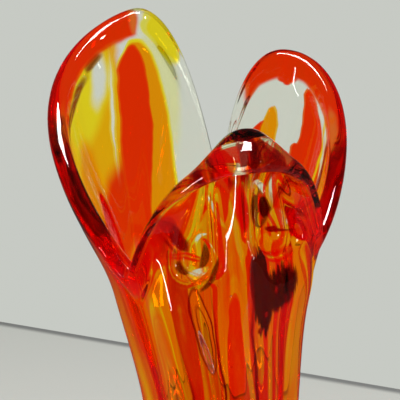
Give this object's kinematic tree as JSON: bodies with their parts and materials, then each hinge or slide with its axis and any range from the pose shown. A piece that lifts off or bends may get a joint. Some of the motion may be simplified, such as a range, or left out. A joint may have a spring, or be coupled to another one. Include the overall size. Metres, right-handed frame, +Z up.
{
  "type": "hand blown art glass vase",
  "caption": "Upright hand blown glass vase with a fluted body and a mouth pulled into tall lobes, holding flowers in its open inside.",
  "frame": {"origin": "centre of the ground flat under the foot, on the table", "axes": "+Z up from the foot towards the mouth; the lowest lobe, which curls outwards, is at the front, -Y; +X to the right seen from the front"},
  "size_m": [0.1485, 0.1291, 0.297],
  "materials": {
    "crystal": "fire polished clear crystal",
    "orange_glass": "transparent orange, cased in crystal",
    "red_glass": "transparent selenium red, cased in crystal",
    "amber_glass": "transparent amber yellow, cased in crystal",
    "lime_glass": "transparent pale lime yellow, cased in crystal"
  },
  "bodies": {
    "root": {"foot": "crystal", "clear_casing": "crystal", "inner_bubble": "crystal", "orange_overlay": "orange_glass", "amber_bar_left": "amber_glass", "red_bar_left": "red_glass", "lime_bar_left": "lime_glass", "orange_bar_left_valley": "orange_glass", "red_bar_front_left": "red_glass", "clear_bar_front": "lime_glass", "red_bar_front_right": "red_glass", "orange_bar_right_valley": "orange_glass", "red_bar_right": "red_glass", "clear_bar_right": "crystal", "orange_bar_back": "orange_glass"}
  },
  "joints": []
}
